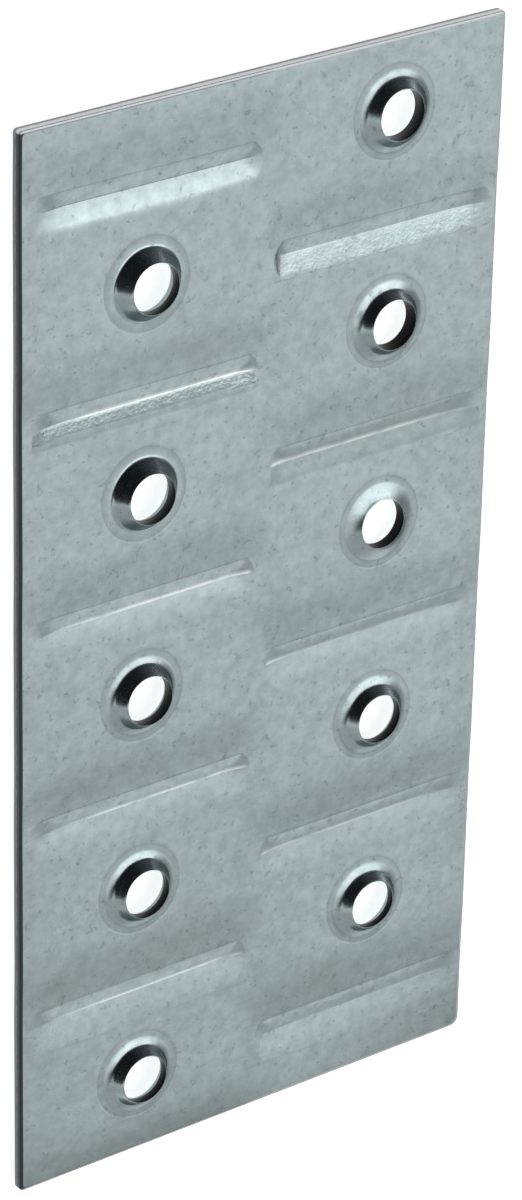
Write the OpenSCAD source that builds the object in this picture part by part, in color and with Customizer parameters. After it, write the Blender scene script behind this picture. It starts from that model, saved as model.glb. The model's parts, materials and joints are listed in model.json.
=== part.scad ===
// Nail plate for joining timbers: one piece of zinc-coated sheet, with a chequerboard of
// drawn nail holes and pressed stiffening grooves. The plate lies face up: the nail holes
// rise towards +Z, and it rests on the ridges that the grooves make on its back.

/* [Sheet] */
// Length of the plate, along Y
plate_l = 105; // [65:5:205]
// Width of the plate, along X
plate_w = 51; // [51:1:70]
// Thickness of the sheet
sheet_t = 1; // [0.8:0.1:1.5]
// Radius of three corners, as the shear leaves them
corner_r = 0.35; // [0.2:0.05:1]
// Radius of the corner at +X -Y, which has been knocked blunt
blunt_corner_r = 0.9; // [0.2:0.1:2]

/* [Rows] */
// Distance from one row to the next
row_pitch = 10; // [9.5:0.5:14]
// Least distance from the first and last rows to the ends of the plate
end_land = 6.5; // [6:0.5:12]
// Distance between the two columns of nail holes
hole_spacing = 26; // [25:0.5:28]
// How far the press set the pattern of holes off the plate's middle, along X
holes_off_x = 0.5; // [0:0.05:0.8]
// How far the press set the pattern of holes off the plate's middle, along Y
holes_off_y = 0.7; // [0:0.1:1]

/* [Nail holes] */
// Bore of a nail hole
hole_d = 4.7; // [3.5:0.1:5]
// Width of the flat rim round the bore
rim_w = 0.1; // [0.05:0.05:0.5]
// Height of the rims over the face of the plate, in the left column
left_rim_h = 1.5; // [0.9:0.1:1.8]
// Height of the rims over the face of the plate, in the right column
right_rim_h = 1.2; // [0.9:0.1:1.8]
// Slope of the drawn walls in the left column
left_wall_slope = 45; // [35:1:50]
// Slope of the drawn walls in the right column
right_wall_slope = 38; // [35:1:50]
// Radius where a wall leaves the face of the plate
foot_r = 0.8; // [0.4:0.1:1.2]
// Radius round the outside of the rim
rim_r = 0.5; // [0.2:0.05:0.6]

/* [Grooves] */
// Length of a groove at the face of the plate
groove_l = 24.5; // [18:0.1:24.5]
// Depth of a groove
groove_depth = 0.7; // [0.4:0.05:0.9]
// Slope of a groove's two sides
groove_slope = 19; // [17:0.5:26]
// Slope of a groove's two ends
end_slope = 60; // [45:1:75]
// Radius where the +Y side leaves the face of the plate, which is crisp
crisp_r = 0.8; // [0.4:0.1:0.9]
// Radius where the -Y side leaves the face of the plate, which is soft
soft_r = 3; // [2:0.5:3.5]
// Radius along the bottom of a groove
bottom_r = 0.2; // [0.1:0.05:0.4]
// Distance between the middles of the left and right grooves
groove_spacing = 25.5; // [25.1:0.1:25.6]
// How far the press set the grooves off the plate's middle, along X
grooves_off_x = 0.3; // [0:0.05:0.3]
// How far a groove lies below the line of its row
groove_drop = 1.15; // [0:0.05:1.25]

/* [Hidden] */
$fn = 64;
// How far a cutter reaches past the face that it cuts
past = 1;
// How far a piece reaches into the one that it is joined to
overlap = 0.3;
// How far a straight wall's end is let into the bend that it meets, so that the two cross
let_in = 0.001;
// How far round a bend of radius r is carried past that wall, in degrees
function lap(r) = 1.15 * acos(1 - let_in / r);

// The rows that fit between the ends, and the first row's place
rows = floor((plate_l - 2 * end_land) / row_pitch) + 1;
first_row_y = (rows - 1) * row_pitch / 2 + holes_off_y;

// Heights: the ridges on the back stand on zero
back_z = groove_depth;
face_z = back_z + sheet_t;

// A wall that leaves a face at radius r1 and ends at radius r2 takes this much straight
// length to rise by h at slope a, and covers this much ground
function straight(h, a, r1, r2) = (h - (r1 + r2) * (1 - cos(a))) / sin(a);
function ground(h, a, r1, r2) = (r1 + r2) * sin(a) + straight(h, a, r1, r2) * cos(a);

bore_r = hole_d / 2;
rim_out_r = bore_r + rim_w;
function foot_out_r(rim_h, slope) = rim_out_r + ground(rim_h, slope, foot_r, rim_r);

// From the bottom of a groove to its two edges, on its crisp side and on its soft side
crisp_side = ground(groove_depth, groove_slope, crisp_r, bottom_r);
soft_side = ground(groove_depth, groove_slope, soft_r, bottom_r);
// How far a groove's rounded end reaches outside its two sides, which run into the end
end_over = 0.3;
// How far a ridge's end stands outside the groove's end
ridge_end_out = 0.1;
end_run = 1 / tan(end_slope);
// The middle of the bend along a groove's bottom, in a section across it
bottom_middle = [0, bottom_r - groove_depth];

// The part of a circle of radius r between two angles
module sector(r, from, to) {
    reach = 2 * r;
    intersection() {
        circle(r);
        polygon([[0, 0], reach * [cos(from), sin(from)],
            reach * [cos((from + to) / 2), sin((from + to) / 2)], reach * [cos(to), sin(to)]]);
    }
}

// Outline of the plate, with its four corners rounded
module outline() {
    x = plate_w / 2;
    y = plate_l / 2;
    r = corner_r;
    b = blunt_corner_r;
    polygon([[x - b, -y], [x, -y + b], [x, y - r], [x - r, y],
        [-x + r, y], [-x, y - r], [-x, -y + r], [-x + r, -y]]);
    translate([x - b, -y + b]) circle(b);
    for (at = [[x - r, y - r], [-x + r, y - r], [-x + r, -y + r]]) translate(at) circle(r);
}

// Half section of a drawn nail hole, from the bore out into the flat sheet: radius along X,
// height over the face along Y. The polygon has a chord for each bend, and circles round it
module drawn_section(rim_h, a) {
    out_r = foot_out_r(rim_h, a);
    foot = [out_r, foot_r];
    front_foot = foot - (foot_r - let_in) * [sin(a), cos(a)];
    back_r = foot_r + sheet_t;
    back_foot = foot - (back_r - let_in) * [sin(a), cos(a)];
    front_rim = [rim_out_r, rim_h - rim_r] + (rim_r - let_in) * [sin(a), cos(a)];
    back_rim = [bore_r, back_foot[1] + (back_foot[0] - bore_r) * tan(a)];
    difference() {
        union() {
            polygon([back_foot, back_rim, [bore_r, rim_h], [rim_out_r, rim_h], front_rim, front_foot,
                [out_r, 0], [out_r + overlap, 0], [out_r + overlap, -sheet_t], [out_r, -sheet_t]]);
            translate(foot) sector(back_r, 270 - a - lap(back_r), 270);
        }
        translate(foot) circle(foot_r);
    }
    translate([rim_out_r, rim_h - rim_r]) sector(rim_r, 90 - a - lap(rim_r), 90);
}

// A nail hole: the sheet is drawn up round the bore
module nail_hole(rim_h, slope) {
    translate([0, 0, face_z]) rotate_extrude() drawn_section(rim_h, slope);
}

// Room in the flat sheet for a nail hole
module nail_hole_room(rim_h, slope) {
    translate([0, 0, back_z - past]) cylinder(r = foot_out_r(rim_h, slope), h = sheet_t + 2 * past);
}

// Where a groove's side leaves its bend: the bend's middle is middle_r under the face, edge to
// one side of the groove's bottom, and r is the radius at the face or at the back of the sheet
function side_end(edge, middle_r, r) =
    [edge, -middle_r] + r * [-sign(edge) * sin(groove_slope), cos(groove_slope)];

// Where the side that faces dir meets the bend along the bottom, which has radius r
function bottom_end(dir, r) =
    bottom_middle + (r - let_in) * [dir * sin(groove_slope), -cos(groove_slope)];

// The bend along the bottom
module bottom_bend(r) {
    turn = groove_slope + lap(r);
    translate(bottom_middle) sector(r, 270 - turn, 270 + turn);
}

// Section of the room over a groove: across the groove along X, height over the face along Y
module groove_section() {
    difference() {
        polygon([[-soft_side, past], [-soft_side, 0], side_end(-soft_side, soft_r, soft_r),
            bottom_end(-1, bottom_r), bottom_end(1, bottom_r),
            side_end(crisp_side, crisp_r, crisp_r), [crisp_side, 0], [crisp_side, past]]);
        translate([-soft_side, -soft_r]) circle(soft_r + let_in);
        translate([crisp_side, -crisp_r]) circle(crisp_r + let_in);
    }
    bottom_bend(bottom_r);
}

// Section of the ridge that the groove makes on the back: height over the face along Y. Its
// crisp side runs straight into the back of the sheet
module ridge_section() {
    nose_r = bottom_r + sheet_t;
    nose = bottom_end(1, nose_r);
    soft_back_r = soft_r - sheet_t;
    top_y = -sheet_t + past / 2;
    difference() {
        union() {
            polygon([[-soft_side, top_y], [-soft_side, -sheet_t],
                side_end(-soft_side, soft_r, soft_back_r), bottom_end(-1, nose_r),
                nose, [nose[0] + (top_y - nose[1]) / tan(groove_slope), top_y]]);
            intersection() {
                bottom_bend(nose_r);
                translate([-nose_r, -past - nose_r]) square([2 * nose_r, nose_r + past / 2]);
            }
        }
        translate([-soft_side, -soft_r]) circle(soft_back_r + let_in);
    }
}

// A straight run of a section along X, from one end of a groove to the other
module run(length) {
    rotate([90, 0, 90]) translate([0, 0, -length / 2]) linear_extrude(length) children();
}

// The ground that a groove covers: round sloping ends, end_out further out than the groove's
// own where height is zero
module ground_plan(end_out) {
    r = (crisp_side + soft_side) / 2 + end_over + end_out;
    x = groove_l / 2 + end_out - r;
    across = (crisp_side - soft_side) / 2;
    for (end = [-x, x])
        translate([end, across, -r / end_run / 2])
            cylinder(h = r / end_run / 2 + past, r1 = r / 2, r2 = r + past * end_run);
    wide = 2 * r - end_over;
    translate([-x, across - wide / 2, -2 * face_z]) cube([2 * x, wide, 2 * face_z + past]);
}

// Room over a groove, cut from the face of the sheet
module groove_room() {
    translate([0, 0, face_z]) intersection() {
        run(groove_l) groove_section();
        ground_plan(0);
    }
}

// Ridge on the back of the sheet
module ridge() {
    translate([0, 0, face_z]) intersection() {
        run(groove_l + 2 * ridge_end_out) ridge_section();
        translate([0, 0, -sheet_t]) ground_plan(ridge_end_out);
    }
}

// Odd rows have their hole on the right and their groove on the left, even rows the reverse
module at_holes(side) {
    for (row = [side > 0 ? 0 : 1 : 2 : rows - 1])
        translate([holes_off_x + side * hole_spacing / 2, first_row_y - row * row_pitch, 0])
            children();
}

module at_grooves() {
    for (row = [0 : rows - 1]) {
        side = row % 2 == 0 ? -1 : 1;
        translate([grooves_off_x + side * groove_spacing / 2,
            first_row_y - row * row_pitch - groove_drop, 0]) children();
    }
}

module nail_plate() {
    color("#a7b4b3") union() {
        difference() {
            union() {
                translate([0, 0, back_z]) linear_extrude(sheet_t) outline();
                at_grooves() ridge();
            }
            at_grooves() groove_room();
            at_holes(-1) nail_hole_room(left_rim_h, left_wall_slope);
            at_holes(1) nail_hole_room(right_rim_h, right_wall_slope);
        }
        at_holes(-1) nail_hole(left_rim_h, left_wall_slope);
        at_holes(1) nail_hole(right_rim_h, right_wall_slope);
    }
}

nail_plate();
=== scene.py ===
import json
from math import atan, copysign, cos, hypot, pi, radians, sin, sqrt, tan

import bmesh
import bpy
from mathutils import Matrix, Vector


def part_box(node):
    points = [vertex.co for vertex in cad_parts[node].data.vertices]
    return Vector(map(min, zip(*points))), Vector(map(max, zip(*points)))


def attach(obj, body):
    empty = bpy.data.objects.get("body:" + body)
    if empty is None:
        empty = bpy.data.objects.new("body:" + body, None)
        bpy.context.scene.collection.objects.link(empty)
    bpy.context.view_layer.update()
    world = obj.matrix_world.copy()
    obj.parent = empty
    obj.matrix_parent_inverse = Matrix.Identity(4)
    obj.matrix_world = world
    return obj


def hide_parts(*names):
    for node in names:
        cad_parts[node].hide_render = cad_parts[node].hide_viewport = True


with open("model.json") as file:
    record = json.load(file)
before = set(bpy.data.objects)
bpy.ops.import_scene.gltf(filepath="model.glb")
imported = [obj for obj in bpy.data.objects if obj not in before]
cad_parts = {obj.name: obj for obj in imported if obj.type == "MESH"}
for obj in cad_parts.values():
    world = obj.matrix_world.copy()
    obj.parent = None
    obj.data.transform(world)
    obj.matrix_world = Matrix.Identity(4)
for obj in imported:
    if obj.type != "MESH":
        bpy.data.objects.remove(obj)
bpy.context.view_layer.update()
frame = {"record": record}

# ---------------------------------------------------------------------------
# The sheet. A nail plate is one piece of hot-dip galvanised steel sheet, a millimetre
# thick, sheared to length and struck once in a press tool. Its outline is drawn first, in
# millimetres: the shear has rolled the front edge over a little and left the back one square.
# ---------------------------------------------------------------------------
MM = 0.001
near_corner, far_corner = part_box("nail_plate")
PLATE_W, PLATE_L = (round(size / MM, 3) for size in (far_corner - near_corner)[:2])
SHEET_T = 1.0
FACE_Z = 1.7  # the front face, over the ridges that the plate rests on
CORNER_R, BLUNT_CORNER_R = 0.35, 0.9
EDGE_ROLL, ROLL_DROP = 0.3, 0.12  # how far in and how far down the front edge is rolled
BACK_CHAMFER = 0.05

plate = bmesh.new()
kind = plate.faces.layers.int.new("kind")
BROAD, SHEARED, FORMED, BORE = 1, 2, 3, 4
fold_highlight, painted_shade_and_dulling, strain = (plate.verts.layers.float.new(name)
                             for name in ("fold_highlight", "painted_shade_and_dulling", "strain"))


def mark(faces, value):
    for face in faces:
        face[kind] = value


def only(items, what):
    return [item for item in items if isinstance(item, what)]


corners = bmesh.ops.create_grid(plate, x_segments=1, y_segments=1, size=0.5)["verts"]
bmesh.ops.scale(plate, verts=corners, vec=(PLATE_W, PLATE_L, 1))
blunt = [v for v in corners if v.co.x > 0 > v.co.y]
crisp = [v for v in corners if v not in blunt]
for verts, radius in ((blunt, BLUNT_CORNER_R), (crisp, CORNER_R)):
    bmesh.ops.bevel(plate, geom=verts, offset=radius, segments=6, profile=0.5,
                    affect="VERTICES", material=-1)
bmesh.ops.delete(plate, geom=plate.faces[:], context="FACES_ONLY")


def place_ring(ring, inwards, z):
    """Brings a ring of the outline to a height, and to a distance inside the full size"""
    verts = {v for e in ring for v in e.verts}
    now = max(v.co.x for v in verts), max(v.co.y for v in verts)
    want = PLATE_W / 2 - inwards, PLATE_L / 2 - inwards
    for vert in verts:
        vert.co = (vert.co.x * want[0] / now[0], vert.co.y * want[1] / now[1], z)


ring = front_outline = plate.edges[:]
place_ring(ring, EDGE_ROLL, FACE_Z)
ROLL_STEPS = 4
edge_section = [
    (EDGE_ROLL * (1 - sin(turn)), FACE_Z - ROLL_DROP * (1 - cos(turn)))
    for turn in (pi / 2 * step / ROLL_STEPS for step in range(1, ROLL_STEPS + 1))
] + [(0, FACE_Z - SHEET_T + BACK_CHAMFER), (BACK_CHAMFER, FACE_Z - SHEET_T)]
for inwards, z in edge_section:
    made = bmesh.ops.extrude_edge_only(plate, edges=ring)["geom"]
    mark(only(made, bmesh.types.BMFace), SHEARED)
    new_verts = set(only(made, bmesh.types.BMVert))
    ring = [e for e in only(made, bmesh.types.BMEdge) if new_verts.issuperset(e.verts)]
    place_ring(ring, inwards, z)
back_outline = ring

# ---------------------------------------------------------------------------
# The ten drawn nail holes. A punch pierces the sheet and then draws it up round the bore,
# so each is a short collar that thins towards a sharp lip, inside the faint ring left by the
# press. The left column is drawn higher, and each hole has its own curve.
# ---------------------------------------------------------------------------
bores = sorted((mount for mount in frame["record"]["mounts"] if mount["kind"] == "bore"),
               key=lambda bore: -bore["pos_m"][1])
HOLES = [[round(place / MM, 3) for place in bore["pos_m"][:2]] for bore in bores]
BORE_R = bores[0]["dims"]["r_mm"]
ROWS, FIRST_ROW = len(HOLES), HOLES[0][1]
ROW_PITCH = round(HOLES[0][1] - HOLES[1][1], 3)
RING_R = 4.45  # radius of the ring left by the press
LIP_W = 0.05  # the lip's width, from the top of the wall in to the bore
# For each row: how far in from the ring, as a share of the way to the bore, the sheet stays
# flat, where it turns up steeply, its slope there, and how much it thins towards the lip
WALLS = ((0.24, 0.58, 1.1, 0.1), (0.39, 0.5, 1.36, 0.65), (0.24, 0.66, 1.3, 0.12),
         (0.37, 0.5, 1.34, 0.58), (0.26, 0.94, 0.8, 0), (0.3, 0.62, 1.5, 0.55),
         (0.22, 0.64, 1.25, 0.55), (0.28, 0.64, 1.5, 0.7), (0.22, 0.64, 1.25, 0.7),
         (0.26, 0.64, 1.45, 0.7))
FLAT_STEPS, WALL_STEPS, ROUND_STEPS = 2, 16, 72


def drawn_section(flat, turn, steep, thinned):
    """Half section of a drawn hole, from the face in over the lip and out along the back"""
    # The slope at shares of the way in from the ring, with a foot bend and a second bend
    bend = 0.06
    knots = ((0, 0.02), (flat, 0.06), (flat + bend, 0.3), (turn, 0.6), (turn + bend, steep),
             (1.01, steep))
    run = RING_R - BORE_R - LIP_W
    front, back = [(RING_R + 0.25, 0), (RING_R + 0.08, 0), (RING_R, 0)], []
    share, slope, z = 0, knots[0][1], 0
    for step in range(FLAT_STEPS + WALL_STEPS + 1):
        was_share, was_slope = share, slope
        share = (flat * step / FLAT_STEPS if step <= FLAT_STEPS
                 else flat + (1 - flat) * (step - FLAT_STEPS) / WALL_STEPS)
        low, high = next(pair for pair in zip(knots, knots[1:]) if share <= pair[1][0])
        slope = low[1] + (high[1] - low[1]) * (share - low[0]) / (high[0] - low[0])
        z += run * (share - was_share) * (slope + was_slope) / 2
        r = RING_R - run * share
        if step:
            front.append((r, z))
        thick = SHEET_T * (1 - thinned * max(share - flat, 0) / (1 - flat))
        under = r - thick * sin(atan(slope)), z - thick * cos(atan(slope))
        if under[0] > BORE_R + 0.04:
            back.append(under)
            under_slope = slope
    bore_end = back[-1][1] + (back[-1][0] - BORE_R) * under_slope
    return (
        front
        + [(BORE_R + 0.02, z + 0.01), (BORE_R, z - 0.02), (BORE_R, bore_end)]
        + back[::-1]
        + [(RING_R + 0.25, -SHEET_T)]
    )


front_holes, back_holes = [], []
for (x, y), wall in zip(HOLES, WALLS):
    middle = Vector((x, y, FACE_Z))
    points = [plate.verts.new(middle + Vector((r, 0, z))) for r, z in drawn_section(*wall)]
    section = [plate.edges.new(pair) for pair in zip(points, points[1:])]
    bmesh.ops.spin(plate, geom=points + section, cent=middle, axis=(0, 0, 1), angle=2 * pi,
                   steps=ROUND_STEPS, use_merge=True)
    around = [f for f in plate.faces if f[kind] == 0]
    mark(around, FORMED)
    for face in around:
        if max(hypot(v.co.x - x, v.co.y - y) for v in face.verts) < BORE_R + 0.001:
            face[kind] = BORE
    rims = [e for f in around for e in f.edges if len(e.link_faces) == 1]
    front_holes += [e for e in rims if e.verts[0].co.z > FACE_Z - SHEET_T / 2]
    back_holes += [e for e in rims if e.verts[0].co.z < FACE_Z - SHEET_T / 2]

# ---------------------------------------------------------------------------
# The ten stiffening grooves, pressed into the front by a blunt chisel, one beside each
# hole. Each is a shallow V with a sharp fold along its bottom, a crisp shoulder on one side
# and a soft one on the other, and it stands out as a rounded ridge on the back.
# ---------------------------------------------------------------------------
GROOVE_X = -12.45, 12.97  # the middle of a groove in the left and in the right column
GROOVE_DROP = 1.15  # how far a groove lies below the hole of its row
GROOVE_L, GROOVE_DEPTH, UPPER_SLOPE = 24.25, 0.7, radians(19)
CAP = 2.0  # how far in from its ends a groove starts to round off
END_SHOULDER_R = 0.6
FOLD_W = 0.05  # how far out from the middle of the fold the painted highlight reaches
MARGIN = 0.23  # flat sheet left round a groove
PULL = 0.16  # how far the soft bend above a groove has dropped by its upper shoulder
FOLD = GROOVE_DEPTH - PULL  # how deep a groove then cuts on its upper side
FRONT_BOTTOM_R, BACK_BOTTOM_R, BACK_LONGER = 0.1, 1.1, 0.1
# For each row: the slope of the lower side in degrees, its depth, the radii of the lower and
# the upper shoulder, and the slope of the ends in degrees
SIDES = ((18.5, 0.64, 2.5, 0.5, 18), (13.5, 0.5, 4, 0.5, 24), (10, 0.3, 8, 0.6, 17),
         (9.5, 0.3, 10, 0.6, 10), (11, 0.32, 12, 0.8, 14), (10.5, 0.3, 12, 0.8, 9),
         (12, 0.33, 13, 1, 11), (11.5, 0.32, 13, 1.2, 9), (12, 0.33, 13, 1.4, 11),
         (12, 0.33, 13, 2, 8))
# How bright the highlight painted along the fold is in each row
FOLD_HIGHLIGHT = (0, 0.35, 0.65, 0.8, 0.9, 0.75, 0.9, 0.8, 0.9, 0)
# Lines of the mesh along half a groove: out from its middle, then back from its end
FROM_MIDDLE = (0, 1.6, 3.2, 4.8, 6.4, 8, 9.2)
FROM_END = (1.9, 1.3, 0.9, 0.65, 0.48, 0.38, 0.28, 0.2, 0.13, 0.07, 0.03, 0)
OUTER_LINE = 0.06


def smooth(low, high, x):
    """0 at low and 1 at high, with a soft start and end"""
    x = min(max((x - low) / (high - low), 0), 1)
    return x * x * (3 - 2 * x)


def side_width(slope, depth, shoulder, bottom):
    """From the fold out to the edge of a side with this slope, this depth and these bends"""
    radii = shoulder + bottom
    flank = (depth - radii * (1 - cos(slope))) / sin(slope)
    return radii * sin(slope) + flank * cos(slope)


def drop(inwards, radius, slope):
    """How deep a slope lies, at a distance inwards from the edge of its shoulder"""
    if inwards <= 0:
        return 0
    if inwards < radius * sin(slope):
        return radius - sqrt(radius * radius - inwards * inwards)
    return radius * (1 - cos(slope)) + (inwards - radius * sin(slope)) * tan(slope)


def side_lines(slope, depth, shoulder, bottom):
    """Where the lines of the mesh run along one side, as distances from the fold"""
    width = side_width(slope, depth, shoulder, bottom)
    bottom_end, bend_start = bottom * sin(slope), width - shoulder * sin(slope)
    return (
        [bottom_end * k / 3 for k in range(1, 4)]
        + [bottom_end + (bend_start - bottom_end) * k / 3 for k in range(1, 4)]
        + [bend_start + (width - bend_start) * k / 6 for k in range(1, 7)]
        + [width + MARGIN]
    )


def in_right_column(x):
    """0 in the left column and 1 in the right one, with a soft change between them"""
    return smooth(-2, 2, x - 0.3)


def hollow(row, x):
    """How much less deep the lower side of a groove is than the upper one, along its length"""
    from_end = GROOVE_L / 2 - abs(x - GROOVE_X[row % 2])
    return (FOLD - SIDES[row][1]) * smooth(0.5, 4.5, from_end)


def sheet_drop(x, y):
    """How far the grooves have drawn the sheet down at a place"""
    above_reach, above_fade, below_reach, last_reach = 6.5, 4.5, 13.5, 7
    right, total = in_right_column(x), 0
    pull = PULL * (0.4 + 0.6 * smooth(0, 4, PLATE_W / 2 - abs(x)))
    for row in range(ROWS):
        share = right if row % 2 else 1 - right
        up = y - FIRST_ROW + row * ROW_PITCH + GROOVE_DROP
        reach = below_reach if row < ROWS - 1 else last_reach
        if -0.001 <= up < above_reach:
            total += share * pull * min((above_reach - up) / above_fade, 1)
        elif -reach < up < 0:
            total += share * (pull + hollow(row, x)) * (reach + up) / reach
    return total


def groove(row, middle, upper, lower, bottom, longer, end_slope):
    """One face of a groove, with lines along its fold, its shoulders and its ends. A side is
    its slope, its depth and the radius of its shoulder."""
    half_l = GROOVE_L / 2
    end = half_l + longer
    across = [-y for y in reversed(side_lines(*lower, bottom))] + [0] + side_lines(*upper, bottom)
    columns = 2 * (len(FROM_MIDDLE) + len(FROM_END))
    made = bmesh.ops.create_grid(plate, x_segments=columns, y_segments=len(across) - 1,
                                 size=0.5)["verts"]
    made_faces = dict.fromkeys(f for v in made for f in v.link_faces)
    mark(made_faces, FORMED)
    for vert in made:
        step = abs(round(vert.co.x * columns))
        y = across[round((vert.co.y + 0.5) * (len(across) - 1))]
        slope, depth, shoulder = upper if y >= 0 else lower
        width = side_width(slope, depth, shoulder, bottom)
        high = min(abs(y) / (width + MARGIN), 1)
        outline = end - CAP * (1 - sqrt(1 - high * high))
        if step < len(FROM_MIDDLE):
            x = FROM_MIDDLE[step] / half_l * outline
        elif step < len(FROM_MIDDLE) + len(FROM_END):
            x = outline - FROM_END[step - len(FROM_MIDDLE)]
        else:
            x = end + OUTER_LINE
        round_off = hypot(max(x - end + CAP, 0) / CAP, high)
        wall = drop((1 - round_off) * CAP, END_SHOULDER_R, end_slope)
        side = drop(width - abs(y), shoulder, slope)
        if abs(y) < bottom * sin(slope):
            side = depth - (bottom - sqrt(bottom * bottom - y * y))
        x = copysign(x, vert.co.x)
        outwards = copysign(x, x * middle.x)  # towards the plate's long side
        # A highlight painted into the colour along the fold, fading towards its ends and the long
        # side
        vert[fold_highlight] = 0 if abs(y) >= FOLD_W else FOLD_HIGHLIGHT[row] * (
            smooth(half_l, half_l - 0.7, abs(x)) * smooth(half_l + 2, half_l - 9, outwards))
        if y < 0:
            side *= (FOLD - hollow(row, middle.x + x)) / depth
            y *= 0.9 + 0.15 * (1 - (x / half_l) ** 2)  # the lower side is widest midway along
        # The shallower of side and end, blended, gets shallower still at the plate's long side
        deep = (wall ** -6 + side ** -6) ** (-1 / 6) if wall > 1e-6 and side > 1e-6 else 0
        deep *= 1 - 0.65 * smooth(half_l - 4.5, half_l, outwards)
        vert.co = middle + Vector((x, y, -deep))
    return [e for f in made_faces for e in f.edges if len(e.link_faces) == 1]


front_grooves, back_grooves = [], []
for row, (slope, depth, soft_r, crisp_r, end_slope) in enumerate(SIDES):
    middle = Vector((GROOVE_X[row % 2], FIRST_ROW - row * ROW_PITCH - GROOVE_DROP, FACE_Z))
    upper, lower = (UPPER_SLOPE, FOLD), (radians(slope), depth)
    front_grooves += groove(row, middle, (*upper, crisp_r), (*lower, soft_r),
                            FRONT_BOTTOM_R, 0, radians(end_slope))
    middle.z -= SHEET_T
    back_grooves += groove(row, middle, (*upper, max(crisp_r - SHEET_T, 0.15)),
                           (*lower, soft_r - SHEET_T), BACK_BOTTOM_R, BACK_LONGER,
                           radians(end_slope))

# ---------------------------------------------------------------------------
# The broad faces between the outline, the holes and the grooves. They are filled while the
# sheet is turned a little, as the fill loses lines that lie level, and cut into small squares
# that can follow the sheet where the grooves have drawn it down.
# ---------------------------------------------------------------------------
CELL = 1.7
aslant = Matrix.Rotation(radians(7), 3, "Z")
bmesh.ops.rotate(plate, verts=plate.verts[:], matrix=aslant)
for rings in (front_outline + front_holes + front_grooves,
              back_outline + back_holes + back_grooves):
    filled = bmesh.ops.triangle_fill(plate, edges=rings, use_beauty=True)["geom"]
    mark(only(filled, bmesh.types.BMFace), BROAD)
bmesh.ops.rotate(plate, verts=plate.verts[:], matrix=aslant.transposed())
bmesh.ops.recalc_face_normals(plate, faces=plate.faces[:])
for axis, size in ((Vector((1, 0, 0)), PLATE_W), (Vector((0, 1, 0)), PLATE_L)):
    cuts = int(size / CELL)
    for k in range(1, cuts):
        at = axis * (-size / 2 + k * size / cuts)
        crossed = [f for f in plate.faces if f[kind] in (BROAD, SHEARED)
                   and min((v.co - at).dot(axis) for v in f.verts) < 0
                   < max((v.co - at).dot(axis) for v in f.verts)]
        geom = list(dict.fromkeys(g for f in crossed for g in (f, *f.edges, *f.verts)))
        bmesh.ops.bisect_plane(plate, geom=geom, dist=1e-4, plane_co=at, plane_no=axis)
bmesh.ops.remove_doubles(plate, verts=plate.verts[:], dist=2e-4)
slivers = [f for f in plate.faces if f.calc_area() < 1e-5
           and any(len(e.link_faces) != 2 for e in f.edges)]
bmesh.ops.delete(plate, geom=slivers, context="FACES")
bmesh.ops.delete(plate, geom=[e for e in plate.edges if e.is_wire], context="EDGES")

# ---------------------------------------------------------------------------
# The finished sheet. The grooves have drawn it down, and each place says how far the press
# has strained the zinc there, and how much its colour is darkened: partly painted shade, partly
# dulled zinc. It then goes from millimetres to metres, and takes the place of the plain plate.
# ---------------------------------------------------------------------------
# Where the zinc has flaked, below the second and the third fold, and gone grey, below the
# third and the fourth: the row, from and to how far below the fold, how flaked and how grey
FLAKED = ((1, 0.2, 2.2, 2.6, 0.5), (2, 0.03, 1.2, 4, 2.6), (2, 1.2, 2, 1, 1.8),
          (3, 0.03, 2, 1, 1.8))
PRESSED_R = 3.75  # the press has dulled the flat sheet from the ring in to here


def strain_and_painted_shade(x, y, formed):
    """How strained the zinc is at a place, and how much darker its colour is painted there"""
    # Painted shade: darker on the soft bend just above each groove, and towards the lower end,
    # most at its right corner
    grey = 1.2 * smooth(-46, -52, y) + 1.3 * smooth(12, 24, x) * smooth(-40, -50, y)
    right = in_right_column(x)
    up = (y - FIRST_ROW + GROOVE_DROP) % (2 * ROW_PITCH)
    for share, above in ((1 - right, up), (right, (up + ROW_PITCH) % (2 * ROW_PITCH))):
        grey += share * (smooth(6, 4.2, above) if above > 1.5 else 0)
    strained = 1 if formed else 0
    for hole_x, hole_y in HOLES:
        out = hypot(x - hole_x, y - hole_y)
        if out < RING_R + 0.1:
            strained = 0
        # A dark line is painted into the colour along each hole's ring
        if abs(out - RING_R) < 0.03:
            grey = 2.2
        elif PRESSED_R < out < RING_R:
            grey = 1.2
    for row, low, high, flaked, flake_grey in FLAKED:
        below = FIRST_ROW - row * ROW_PITCH - GROOVE_DROP - y
        if low < below < high and abs(x - GROOVE_X[row % 2]) < GROOVE_L / 2 - 0.4:
            strained, grey = flaked, flake_grey
    return strained, grey


for vert in plate.verts:
    x, y, z = vert.co
    vert.co.z = z - sheet_drop(x, y)
    vert[strain], vert[painted_shade_and_dulling] = strain_and_painted_shade(x, y, any(f[kind] == FORMED for f in vert.link_faces))
bmesh.ops.scale(plate, verts=plate.verts[:], vec=(MM, MM, MM))
bmesh.ops.triangulate(plate, faces=[f for f in plate.faces if len(f.verts) > 4])
for face in plate.faces:
    face.smooth = True
    face.material_index = {SHEARED: 1, BORE: 2}.get(face[kind], 0)
sheet_mesh = bpy.data.meshes.new("galvanised_plate")
plate.to_mesh(sheet_mesh)
plate.free()
sheet_mesh.set_sharp_from_angle(angle=radians(50))
galvanised_plate = bpy.data.objects.new("galvanised_plate", sheet_mesh)
bpy.context.scene.collection.objects.link(galvanised_plate)
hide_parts("nail_plate")
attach(galvanised_plate, "root")


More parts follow.
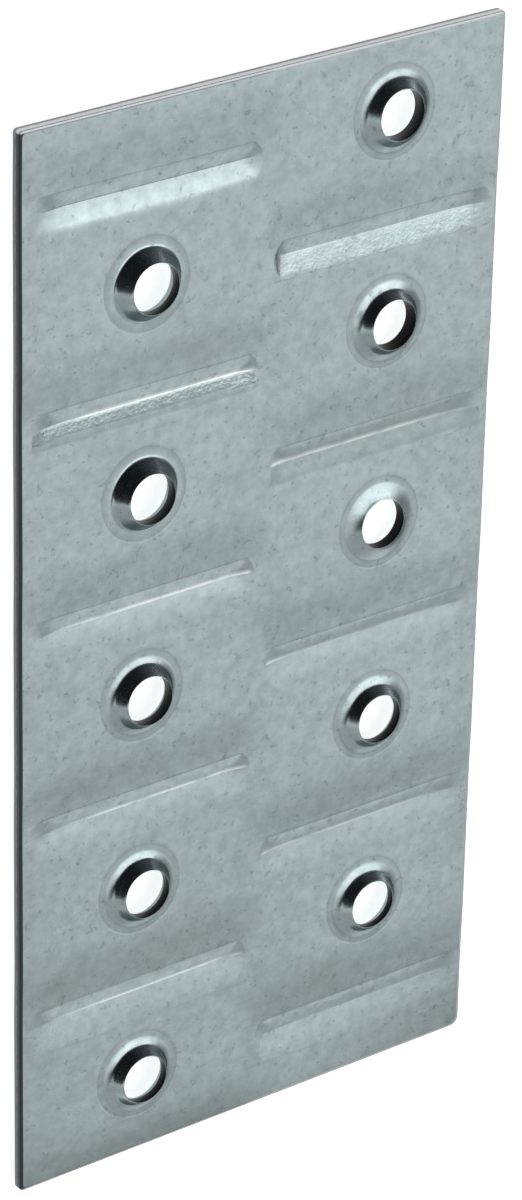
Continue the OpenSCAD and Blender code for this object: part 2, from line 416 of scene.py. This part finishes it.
# ---------------------------------------------------------------------------
# The zinc coat. Hot-dip zinc that has been skin-passed: cool grey metal with a fine mottled
# bloom, dark pinholes and soft clouds. Where the press has stretched it, it is crazed. Along
# the folds a painted highlight lightens its colour, and painted shade and dulled zinc darken it.
# ---------------------------------------------------------------------------
def shader_node(tree, kind, inputs=None, **settings):
    """A node with its settings and inputs, where an input is a value or another node's output"""
    node = tree.nodes.new(kind)
    for name, value in settings.items():
        setattr(node, name, value)
    for name, value in (inputs or {}).items():
        if isinstance(value, bpy.types.NodeSocket):
            tree.links.new(value, node.inputs[name])
        else:
            node.inputs[name].default_value = value
    return node


def noise(tree, place, per_metre, detail, rough):
    made = shader_node(tree, "ShaderNodeTexNoise", {
        "Vector": place, "Scale": per_metre, "Detail": detail, "Roughness": rough})
    return made.outputs["Fac"]


def spread(tree, value, low, high, to_low=0.0, to_high=1.0):
    """Spreads low..high of a value over to_low..to_high, and holds it there"""
    made = shader_node(tree, "ShaderNodeMapRange", {
        "Value": value, "From Min": low, "From Max": high, "To Min": to_low, "To Max": to_high})
    return made.outputs["Result"]


def maths(tree, operation, a, b):
    return shader_node(tree, "ShaderNodeMath", {0: a, 1: b}, operation=operation).outputs[0]


def blend(tree, how, share, a, b):
    """A share of colour b over colour a"""
    made = shader_node(tree, "ShaderNodeMix", data_type="RGBA", blend_type=how)
    for socket, value in (("Factor_Float", share), ("A_Color", a), ("B_Color", b)):
        target = next(s for s in made.inputs if s.identifier == socket)
        if isinstance(value, bpy.types.NodeSocket):
            tree.links.new(value, target)
        else:
            target.default_value = value
    return next(s for s in made.outputs if s.identifier == "Result_Color")


def new_material(name, values):
    """A material with these values on its shader, its node tree and its shader"""
    made = bpy.data.materials.new(name)
    made.use_nodes = True
    shader = made.node_tree.nodes["Principled BSDF"]
    for socket, value in values.items():
        shader.inputs[socket].default_value = value
    return made, made.node_tree, shader


bloom = bpy.data.node_groups.new("zinc_bloom_and_painted_light", "ShaderNodeTree")
for name, socket in (("Place", "NodeSocketVector"), ("Strain", "NodeSocketFloat"),
                     ("Painted_shade_and_dulling", "NodeSocketFloat"), ("Fold_highlight", "NodeSocketFloat")):
    bloom.interface.new_socket(name, in_out="INPUT", socket_type=socket)
for name, socket in (("Colour", "NodeSocketColor"), ("Roughness", "NodeSocketFloat"),
                     ("Height", "NodeSocketFloat")):
    bloom.interface.new_socket(name, in_out="OUTPUT", socket_type=socket)
given = bloom.nodes.new("NodeGroupInput").outputs
result = bloom.nodes.new("NodeGroupOutput").inputs
place = given["Place"]
clouds = noise(bloom, place, 75, 3, 0.55)
mottle = noise(bloom, place, 900, 4, 0.6)
grain = noise(bloom, place, 1300, 1, 0.5)
pinholes = noise(bloom, place, 1500, 2, 0.6)
flakes = noise(bloom, place, 3000, 1, 0.5)
streaks = noise(bloom, place, 350, 2, 0.5)

coat = blend(bloom, "MIX", spread(bloom, clouds, 0.35, 0.65),
             (0.375, 0.445, 0.45, 1), (0.395, 0.478, 0.482, 1))
coat = blend(bloom, "MULTIPLY", 1.0, coat, blend(
    bloom, "MIX", spread(bloom, mottle, 0.3, 0.7), (0.86, 0.86, 0.87, 1), (1.1, 1.1, 1.1, 1)))
specks = spread(bloom, pinholes, 0.62, 0.7)
coat = blend(bloom, "MIX", maths(bloom, "MULTIPLY", specks, 0.35), coat, (0.14, 0.15, 0.16, 1))
# Painted shade, and dulled zinc: the colour is darkened as far as that attribute says
coat = blend(bloom, "MIX", maths(bloom, "MULTIPLY", given["Painted_shade_and_dulling"], 0.11), coat, (0, 0, 0, 1))
# Painted highlight: the colour is lightened along each fold, in streaks
painted_fold_highlight = maths(bloom, "MULTIPLY", spread(bloom, given["Fold_highlight"], 0.25, 0.9),
               spread(bloom, streaks, 0.22, 0.5))
coat = blend(bloom, "MIX", painted_fold_highlight, coat, (0.86, 0.9, 0.9, 1))
bloom.links.new(coat, result["Colour"])

rough = spread(bloom, mottle, 0.3, 0.7, 0.26, 0.2)
rough = maths(bloom, "SUBTRACT", rough, spread(bloom, given["Strain"], 0, 4, 0, 0.12))
rough = maths(bloom, "ADD", rough, maths(bloom, "MULTIPLY", specks, 0.08))
bloom.links.new(rough, result["Roughness"])

crazed = maths(bloom, "ADD",
               maths(bloom, "MULTIPLY", grain, spread(bloom, given["Strain"], 0, 1)),
               maths(bloom, "MULTIPLY", flakes, spread(bloom, given["Strain"], 1, 4, 0, 6)))
bloom.links.new(maths(bloom, "ADD", mottle, crazed), result["Height"])

BLOOM_RELIEF = 0.000012
zinc, tree, metal = new_material("zinc_sheet_coat", {
    "Metallic": 1.0, "Specular Tint": (0.55, 0.57, 0.58, 1)})
coating = shader_node(tree, "ShaderNodeGroup", node_tree=bloom)
where = tree.nodes.new("ShaderNodeTexCoord").outputs["Object"]
tree.links.new(where, coating.inputs["Place"])
for name in ("Strain", "Painted_shade_and_dulling", "Fold_highlight"):
    worn = shader_node(tree, "ShaderNodeAttribute", attribute_name=name.lower())
    tree.links.new(worn.outputs["Fac"], coating.inputs[name])
relief = shader_node(tree, "ShaderNodeBump", {
    "Strength": 1.0, "Distance": BLOOM_RELIEF, "Height": coating.outputs["Height"]})
tree.links.new(coating.outputs["Colour"], metal.inputs["Base Color"])
tree.links.new(coating.outputs["Roughness"], metal.inputs["Roughness"])
tree.links.new(relief.outputs["Normal"], metal.inputs["Normal"])
sheet_mesh.materials.append(zinc)

# ---------------------------------------------------------------------------
# The sheared edges. The shear has smeared zinc over the front of the two short ends, and
# has bared dark steel along the two long sides, with a greyer torn strip next to the back.
# ---------------------------------------------------------------------------
sheared, tree, cut = new_material("sheared_steel", {"Metallic": 1.0, "Roughness": 0.42})
where = tree.nodes.new("ShaderNodeTexCoord").outputs["Object"]
axes = shader_node(tree, "ShaderNodeSeparateXYZ", {0: where}).outputs
ragged = maths(tree, "MULTIPLY", noise(tree, where, 1400, 2, 0.5), 0.0003)
torn = spread(tree, maths(tree, "ADD", axes["Z"], ragged), 0.00134, 0.00122)
rolled = spread(tree, axes["Z"], 0.0015, 0.00158)
on_right = spread(tree, axes["X"], 0, 0.001)
on_end = spread(tree, maths(tree, "ABSOLUTE", axes["Y"], 0), 0.0522, 0.0523)
right_side = blend(tree, "MIX", rolled, (0.13, 0.135, 0.14, 1), (0.38, 0.45, 0.46, 1))
left_side = blend(tree, "MIX", torn, (0.05, 0.057, 0.06, 1), (0.15, 0.155, 0.16, 1))
ends = blend(tree, "MIX", torn, (0.48, 0.5, 0.51, 1), (0.2, 0.19, 0.21, 1))
sides = blend(tree, "MIX", on_right, left_side, right_side)
tree.links.new(blend(tree, "MIX", on_end, sides, ends), cut.inputs["Base Color"])
sheet_mesh.materials.append(sheared)

# ---------------------------------------------------------------------------
# The bores. Each is bare steel, pierced by the punch before the sheet is drawn up. Its colour
# is painted nearly black: painted shade for the inside of the narrow bore.
# ---------------------------------------------------------------------------
painted_dark_bore = new_material("bore_steel_painted_dark", {
    "Metallic": 1.0, "Roughness": 0.4, "Base Color": (0.01, 0.01, 0.011, 1)})[0]
sheet_mesh.materials.append(painted_dark_bore)

# ---------------------------------------------------------------------------
# The table that the plate lies on. It is a plain pale sheet of paper, which looks white
# and which the plate shades softly.
# ---------------------------------------------------------------------------
TABLE_R, TABLE_GLOW = 1.2, 0.75
floor_mesh = bpy.data.meshes.new("table")
table = bmesh.new()
bmesh.ops.create_circle(table, cap_ends=True, segments=96, radius=TABLE_R)
table.to_mesh(floor_mesh)
table.free()
floor = bpy.data.objects.new("table", floor_mesh)
bpy.context.scene.collection.objects.link(floor)
paper, tree, matt = new_material("pale_table", {
    "Base Color": (0.8, 0.8, 0.8, 1), "Roughness": 1.0, "Specular IOR Level": 0.0,
    "Emission Color": (1, 1, 1, 1)})
seen = tree.nodes.new("ShaderNodeLightPath").outputs
glow = maths(tree, "MAXIMUM", seen["Is Camera Ray"],
             maths(tree, "MAXIMUM", seen["Is Glossy Ray"], seen["Is Transmission Ray"]))
tree.links.new(maths(tree, "MULTIPLY", glow, TABLE_GLOW), matt.inputs["Emission Strength"])
floor_mesh.materials.append(paper)

# ---------------------------------------------------------------------------
# The room. It is pale, brighter towards the plate's far end, with a dark wall beyond that
# end and beyond the plate's left side, and grey walls to the right and near the viewer.
# ---------------------------------------------------------------------------
# How light the room is towards the near end (-1) and on up to the far end (1)
ROOM = ((-1, 0.9), (-0.86, 0.95), (-0.76, 1.08), (-0.71, 0.9), (-0.67, 0.58), (-0.62, 0.62),
        (-0.57, 0.72), (-0.52, 0.86), (-0.46, 0.96), (-0.36, 1.0), (-0.25, 1.05),
        (-0.18, 1.12), (-0.05, 1.4), (0.1, 1.9))
world = bpy.data.worlds.new("studio")
bpy.context.scene.world = world
world.use_nodes = True
tree = world.node_tree
toward = tree.nodes.new("ShaderNodeTexCoord").outputs["Generated"]
axes = shader_node(tree, "ShaderNodeSeparateXYZ", {0: toward}).outputs
room = shader_node(tree, "ShaderNodeValToRGB", {"Fac": spread(tree, axes["Y"], -1, 1)})
stops = room.color_ramp.elements
while len(stops) < len(ROOM):
    stops.new(0.5)
for stop, (far, level) in zip(stops, ROOM):
    stop.position = (far + 1) / 2
    stop.color = (level, level, level, 1)

# The walls' edges, on a level ceiling one unit up: across it to the right, and along it
across = maths(tree, "DIVIDE", axes["X"], axes["Z"])
along = maths(tree, "DIVIDE", axes["Y"], axes["Z"])
beyond_left = maths(tree, "MULTIPLY", spread(tree, across, -0.2, -0.34), spread(
    tree, maths(tree, "ADD", along, maths(tree, "MULTIPLY", across, 0.31)), -0.78, -0.56))
beyond_end = maths(tree, "MAXIMUM", spread(tree, along, 0.74, 0.86), spread(
    tree, maths(tree, "SUBTRACT", along, maths(tree, "MULTIPLY", across, 0.57)), 0.38, 0.5))
dark = blend(tree, "MIX", spread(tree, axes["X"], 0.0, 0.75),
             (0.012, 0.012, 0.014, 1), (0.085, 0.083, 0.088, 1))
near = maths(tree, "MULTIPLY", spread(tree, axes["X"], 0.42, 0.28),
             spread(tree, axes["Y"], -0.42, -0.6))
shade = room.outputs["Color"]
for share, colour in (
    (maths(tree, "MAXIMUM", beyond_left, beyond_end), dark),
    (spread(tree, axes["X"], 0.8, 0.95), (0.34, 0.33, 0.34, 1)),
    (near, (0.6, 0.6, 0.61, 1)),
):
    shade = blend(tree, "MIX", share, shade, colour)
tree.links.new(shade, tree.nodes["Background"].inputs["Color"])

# ---------------------------------------------------------------------------
# The lamp, a strip light with a soft cover. It hangs level over the plate and runs away to
# its right.
# ---------------------------------------------------------------------------
STRIP_WIDTH, STRIP_LENGTH, STRIP_LEVEL = 0.295, 1.19, 0.1
lamp = bpy.data.lights.new("strip_light", "AREA")
lamp.shape = "RECTANGLE"
lamp.size, lamp.size_y = STRIP_LENGTH, STRIP_WIDTH
lamp.energy = STRIP_LEVEL * STRIP_WIDTH * STRIP_LENGTH * pi
lamp.color = (1.0, 0.975, 0.99)
strip = bpy.data.objects.new("strip_light", lamp)
strip.location = (0.389, 0.237, 0.8)
strip.rotation_euler = (0, 0, radians(28.1))
bpy.context.scene.collection.objects.link(strip)

# ---------------------------------------------------------------------------
# The camera. It has a long lens and looks down on the plate from beyond its top left corner,
# turned so that the plate's length runs up the picture.
# ---------------------------------------------------------------------------
lens = bpy.data.cameras.new("view")
lens.lens, lens.sensor_width = 147.69, 36
camera = bpy.data.objects.new("view", lens)
sideways = Vector((0.80931, 0.02178, 0.58697))
upwards = Vector((0.25886, 0.88378, -0.38975))
forwards = Vector((0.52726, -0.4674, -0.70962))
camera.matrix_world = Matrix.Translation((-0.23214, 0.20762, 0.31461)) @ Matrix(
    (sideways, upwards, -forwards)).transposed().to_4x4()
bpy.context.scene.collection.objects.link(camera)
bpy.context.scene.camera = camera
bpy.context.scene.view_settings.view_transform = "Standard"
